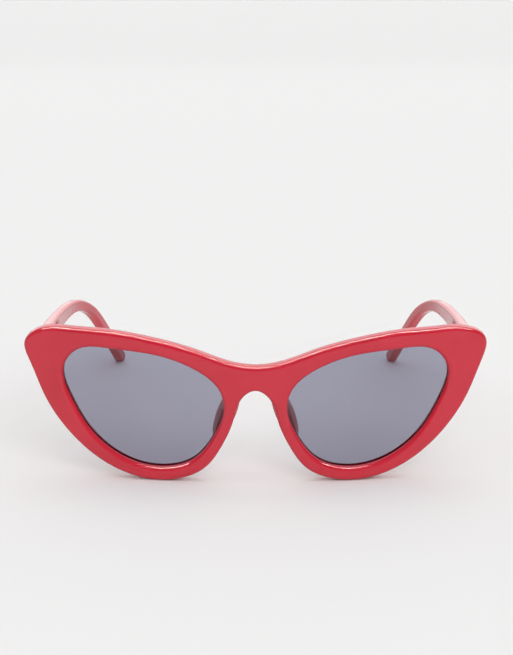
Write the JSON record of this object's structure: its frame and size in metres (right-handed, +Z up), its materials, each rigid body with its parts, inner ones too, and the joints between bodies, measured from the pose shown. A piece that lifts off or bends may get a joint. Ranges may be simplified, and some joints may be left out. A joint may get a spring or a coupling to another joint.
{
  "type": "cat eye sunglasses",
  "caption": "Cat eye sunglasses: curved plate front with upswept wings, tinted lenses, bonded nose pads and wire-cored temples that fold on barrel hinges.",
  "frame": {"origin": "bottom centre of the box round the open glasses, on the plane they stand on", "axes": "+Z up, +Y back along the open temples, +X to the wearer's left"},
  "size_m": [0.1455, 0.1542, 0.0494],
  "materials": {
    "red_acetate": "polished cellulose acetate, opaque red",
    "lens_tint": "polished blue-grey tinted lens",
    "hinge_steel": "fine brushed nickel silver",
    "screw_steel": "turned stainless steel",
    "core_wire": "rolled nickel silver strip"
  },
  "bodies": {
    "front": {"frame_front": "red_acetate", "lens_left": "lens_tint", "lens_right": "lens_tint", "nose_pad_left": "red_acetate", "nose_pad_right": "red_acetate", "hinge_front_leaf_left": "hinge_steel", "hinge_front_leaf_right": "hinge_steel", "hinge_screw_left": "screw_steel", "hinge_screw_right": "screw_steel"},
    "temple_left": {"temple_left": "red_acetate", "temple_core_left": "core_wire", "hinge_temple_leaf_left": "hinge_steel"},
    "temple_right": {"temple_right": "red_acetate", "temple_core_right": "core_wire", "hinge_temple_leaf_right": "hinge_steel"}
  },
  "joints": [
    {"name": "temple_left_fold", "type": "hinge", "parent": "front", "child": "temple_left", "pos_m": [0.0642, -0.0595, 0.03876], "axis": [0, 0.0507, 0.9987], "range_deg": [0, 87]},
    {"name": "temple_right_fold", "type": "hinge", "parent": "front", "child": "temple_right", "pos_m": [-0.0642, -0.0595, 0.03876], "axis": [0, -0.0507, -0.9987], "range_deg": [0, 81]}
  ]
}
